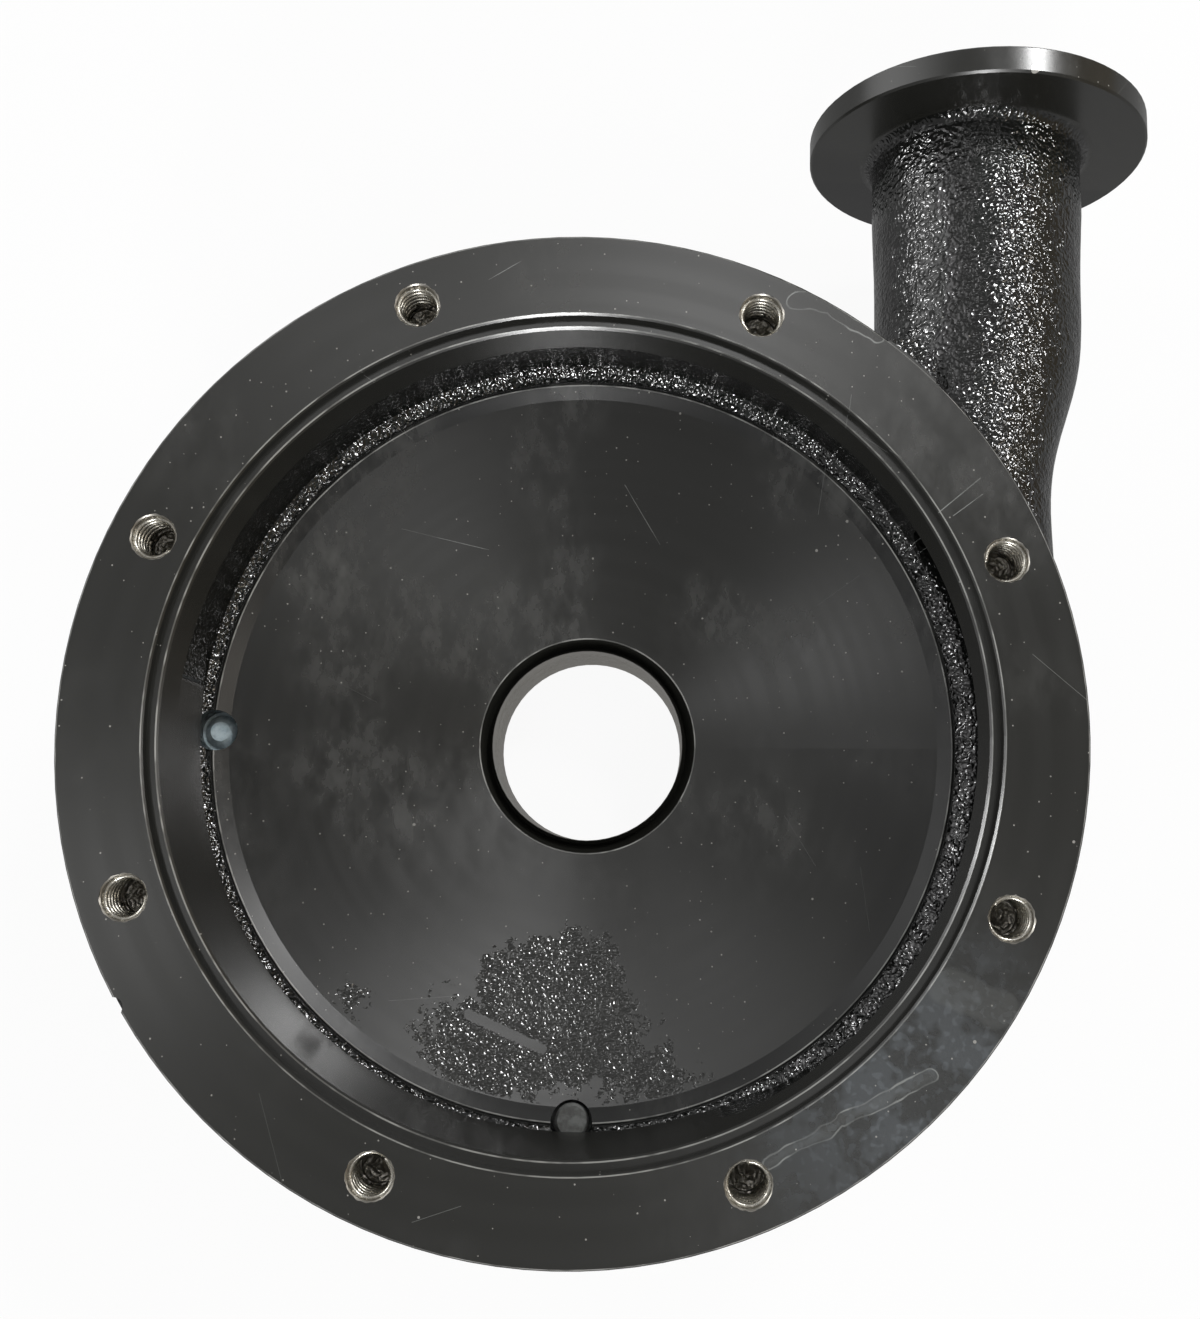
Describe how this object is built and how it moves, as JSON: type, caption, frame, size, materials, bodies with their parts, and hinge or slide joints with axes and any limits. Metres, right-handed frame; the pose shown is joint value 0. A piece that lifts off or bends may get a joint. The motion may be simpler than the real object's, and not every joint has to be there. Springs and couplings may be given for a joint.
{
  "type": "volute pump casing",
  "caption": "Cast volute casing of a small end-suction centrifugal pump: open flanged bore, tangential nozzle with plain disc flange, tapped cover holes and two pipe plugs.",
  "frame": {"origin": "centre of the suction bore on the suction face, which is the lowest face", "axes": "+Z along the pump axis, out of the open cover face; +Y along the discharge nozzle, out of its flange; +X to the side that the nozzle is on"},
  "size_m": [0.2035, 0.2181, 0.0817],
  "materials": {
    "black_painted_casting": "glossy black paint",
    "zinc_plated_steel": "blue zinc plate",
    "plain_steel": "dull"
  },
  "bodies": {
    "root": {"volute_casing": "black_painted_casting", "vent_plug": "zinc_plated_steel", "drain_plug": "plain_steel"}
  },
  "joints": []
}
